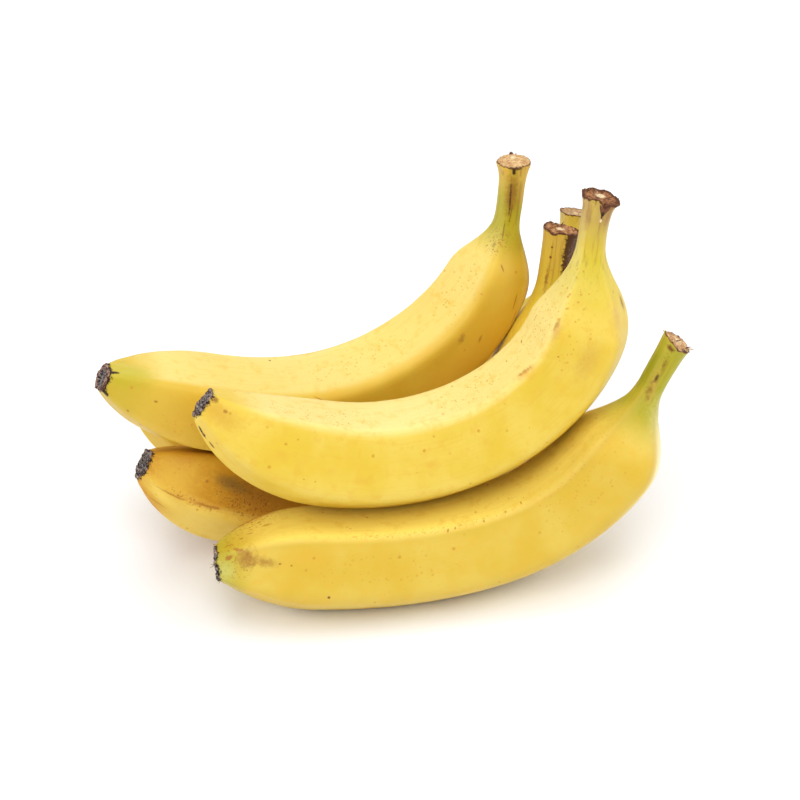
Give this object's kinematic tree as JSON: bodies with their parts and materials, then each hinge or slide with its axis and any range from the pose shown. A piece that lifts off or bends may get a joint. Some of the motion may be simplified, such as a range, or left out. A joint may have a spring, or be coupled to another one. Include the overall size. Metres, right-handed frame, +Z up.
{
  "type": "bunch of bananas",
  "caption": "Ripe bananas heaped in layers, each curved, with a ridged peel, a narrow stem and a dark blossom tip.",
  "frame": {"origin": "centre of the heap's bounding box, on the plane that it rests on", "axes": "+X from the blossom tips towards the stems, +Y from the front fruit to the back one, +Z up"},
  "size_m": [0.2195, 0.1607, 0.1465],
  "materials": {
    "peel_front_bottom": "ripe banana peel, satin",
    "peel_middle_bottom": "ripe banana peel, satin",
    "peel_back_bottom": "ripe banana peel, satin",
    "peel_front_top": "ripe banana peel, satin",
    "peel_back_top": "ripe banana peel, satin"
  },
  "bodies": {
    "root": {"banana_front_bottom": "peel_front_bottom", "banana_middle_bottom": "peel_middle_bottom", "banana_back_bottom": "peel_back_bottom", "banana_front_top": "peel_front_top", "banana_back_top": "peel_back_top"}
  },
  "joints": []
}
